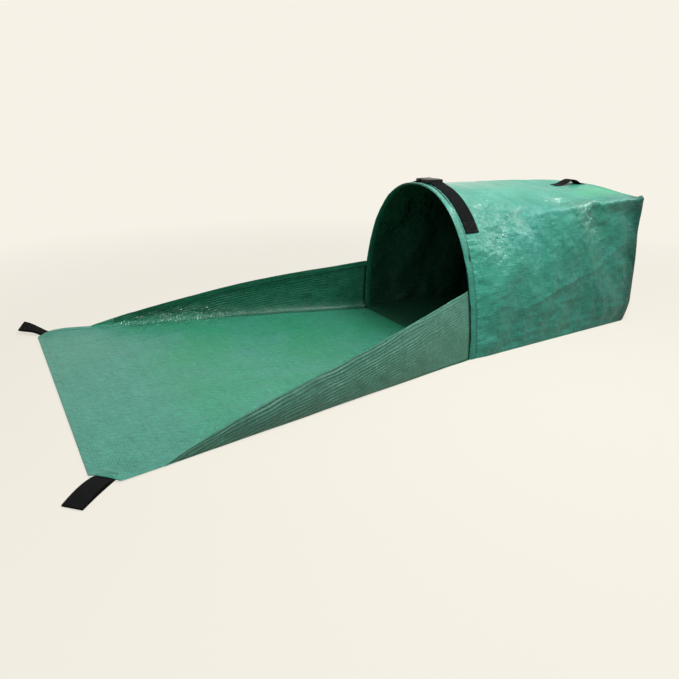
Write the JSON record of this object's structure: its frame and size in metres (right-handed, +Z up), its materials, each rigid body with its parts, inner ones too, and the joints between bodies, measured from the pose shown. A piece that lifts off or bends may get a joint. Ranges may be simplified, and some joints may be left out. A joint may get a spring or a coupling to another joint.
{
  "type": "dustpan-style garden leaf bag",
  "caption": "Hooped cloth leaf bag lying on its side, with a flared ground apron, wing gussets, webbing loops and a buckled closing strap.",
  "frame": {"origin": "centre of the bounding box on the ground", "axes": "+Z up, apron towards -Y, bag towards +Y, X across, mirror plane at X = 0"},
  "size_m": [1.2954, 2.0232, 0.531],
  "materials": {
    "cloth_green": "woven coated tape cloth, satin with glossy creases",
    "cloth_dark": "woven coated tape cloth, inner face",
    "webbing_black": "matt polypropylene webbing",
    "thread_green": "polyester thread",
    "buckle_black": "moulded acetal, satin",
    "hoop_black": "extruded plastic strip"
  },
  "bodies": {
    "bag": {"bag_floor": "cloth_green", "bag_wrap": "cloth_green", "bag_end": "cloth_dark", "mouth_sleeve": "cloth_dark", "hoop_strip": "hoop_black", "sleeve_stitching": "thread_green", "strap_right": "webbing_black", "strap_left": "webbing_black", "strap_stitching": "webbing_black", "buckle_socket": "buckle_black", "handle_tab_front": "webbing_black", "handle_tab_rear": "webbing_black", "handle_stitching": "webbing_black"},
    "apron": {"apron_floor": "cloth_green", "apron_hem": "cloth_dark", "wing_right": "cloth_green", "wing_left": "cloth_green", "wing_hem_right": "cloth_dark", "wing_hem_left": "cloth_dark", "loop_stitching": "thread_green"},
    "corner_loop_right": {"corner_loop_right": "webbing_black"},
    "corner_loop_left": {"corner_loop_left": "webbing_black"},
    "rear_handle": {"rear_handle": "webbing_black"},
    "buckle_plug": {"buckle_plug": "buckle_black"},
    "buckle_prong_front": {"buckle_prong_front": "buckle_black"},
    "buckle_prong_rear": {"buckle_prong_rear": "buckle_black"}
  },
  "joints": [
    {"name": "apron_fold", "type": "hinge", "parent": "bag", "child": "apron", "pos_m": [0, 0.23131, 0.0013], "axis": [-1, 0, 0], "range_deg": [0, 90]},
    {"name": "corner_loop_right_flop", "type": "hinge", "parent": "apron", "child": "corner_loop_right", "pos_m": [0.547, -0.91069, 0.0045], "axis": [-0.7071, -0.7071, 0], "range_deg": [0, 150]},
    {"name": "corner_loop_left_flop", "type": "hinge", "parent": "apron", "child": "corner_loop_left", "pos_m": [-0.547, -0.91069, 0.0045], "axis": [-0.7071, 0.7071, 0], "range_deg": [0, 150]},
    {"name": "rear_handle_lift", "type": "slide", "parent": "bag", "child": "rear_handle", "axis": [0, 0, 1], "range_m": [0, 0.02], "stiffness_N_per_m": 15},
    {"name": "buckle_release", "type": "slide", "parent": "bag", "child": "buckle_plug", "axis": [-1, 0, 0], "range_m": [0, 0.036], "deforming": ["strap_left"]},
    {"name": "prong_front_squeeze", "type": "hinge", "parent": "buckle_plug", "child": "buckle_prong_front", "pos_m": [0.0003, 0.26131, 0.524], "axis": [0, 0, 1], "range_deg": [0, 4], "stiffness_Nm_per_rad": 0.5},
    {"name": "prong_rear_squeeze", "type": "hinge", "parent": "buckle_plug", "child": "buckle_prong_rear", "pos_m": [0.0003, 0.31231, 0.524], "axis": [0, 0, -1], "range_deg": [0, 4], "stiffness_Nm_per_rad": 0.5}
  ]
}
